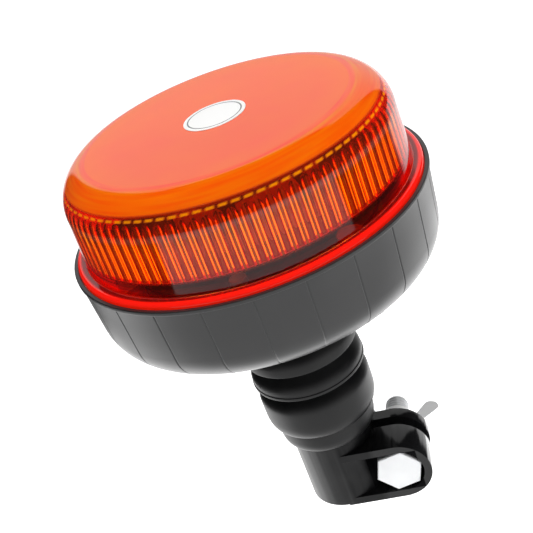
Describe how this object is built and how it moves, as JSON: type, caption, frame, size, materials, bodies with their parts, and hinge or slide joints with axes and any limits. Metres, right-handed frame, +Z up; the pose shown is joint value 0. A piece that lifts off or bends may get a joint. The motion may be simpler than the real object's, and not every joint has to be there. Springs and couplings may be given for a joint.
{
  "type": "warning beacon",
  "caption": "Amber drum-lens flashing warning beacon with a shallow black base, on a ribbed flexible rubber neck with a split pole clamp tightened by a hex bolt and wing nut.",
  "frame": {"origin": "middle of the pole socket's mouth, at the foot of the clamp", "axes": "+Z up the pole bore towards the lens, +X along the clamp's ears, Y along the clamp bolt with its head on the -Y side"},
  "size_m": [0.1316, 0.1316, 0.1705],
  "materials": {
    "amber_lens": "clear amber moulding, polished",
    "blank_label": "white film, blank",
    "black_shell": "satin black moulding",
    "neck_rubber": "matt black rubber",
    "clamp_nylon": "black glass-filled nylon",
    "zinc_steel": "bright zinc plate",
    "spring_steel": "drawn wire",
    "brass": "turned brass",
    "gasket_rubber": "white silicone",
    "insulator": "brown phenolic",
    "cable_sheath": "black cable sheath",
    "circuit_board": "green solder mask",
    "white_board": "white solder mask",
    "emitter": "yellow phosphor under resin",
    "carrier_aluminium": "extruded, black anodised",
    "capacitor_sleeve": "shrunk sleeve",
    "ferrite": "sintered ferrite",
    "chip_epoxy": "moulded epoxy",
    "connector_nylon": "ivory nylon"
  },
  "bodies": {
    "clamp": {"clamp_socket": "clamp_nylon", "clamp_bolt": "zinc_steel", "contact_holder": "insulator", "earth_ring": "brass"},
    "nut_washer": {"clamp_washer": "zinc_steel"},
    "wing": {"wing_nut": "zinc_steel"},
    "contact": {"centre_contact": "brass", "contact_clip": "spring_steel", "contact_spring": "spring_steel"},
    "neck": {"flexible_neck": "neck_rubber", "supply_cable": "cable_sheath"},
    "head": {"neck_stud": "zinc_steel", "stud_washer": "zinc_steel", "stud_nut": "zinc_steel", "base_shell": "black_shell", "lens": "amber_lens", "lens_gasket": "gasket_rubber", "top_label": "blank_label", "lens_screws": "zinc_steel", "driver_board": "circuit_board", "lead_socket": "connector_nylon", "capacitors": "capacitor_sleeve", "inductor": "ferrite", "driver_chips": "chip_epoxy", "board_spacers": "connector_nylon", "carrier_screws": "zinc_steel", "led_carrier": "carrier_aluminium", "carrier_cap": "white_board", "led_boards": "white_board", "led_emitters": "emitter"}
  },
  "joints": [
    {"name": "neck_bend_x", "type": "hinge", "parent": "clamp", "child": "neck", "pos_m": [0, 0, 0.0555], "axis": [1, 0, 0], "range_deg": [-35, 35], "stiffness_Nm_per_rad": 6, "deforming": ["flexible_neck", "supply_cable"]},
    {"name": "neck_bend_y", "type": "hinge", "parent": "neck", "child": "head", "pos_m": [0, 0, 0.0785], "axis": [0, 1, 0], "range_deg": [-35, 35], "stiffness_Nm_per_rad": 6, "deforming": ["flexible_neck", "supply_cable"]},
    {"name": "contact_slide", "type": "slide", "parent": "clamp", "child": "contact", "axis": [0, 0, 1], "range_m": [0, 0.003], "stiffness_N_per_m": 800, "springref_m": -0.002, "deforming": ["contact_spring", "supply_cable"]},
    {"name": "nut_travel", "type": "slide", "parent": "clamp", "child": "nut_washer", "axis": [0, 1, 0], "range_m": [0, 0.008]},
    {"name": "nut_turn", "type": "hinge", "parent": "nut_washer", "child": "wing", "pos_m": [0.0237, 0.0096, 0.013], "axis": [0, 1, 0], "range_deg": [0, 1921]}
  ],
  "couplings": [
    {"joint": "nut_turn", "follows": "nut_travel", "rad_per_m": 4188.8}
  ]
}
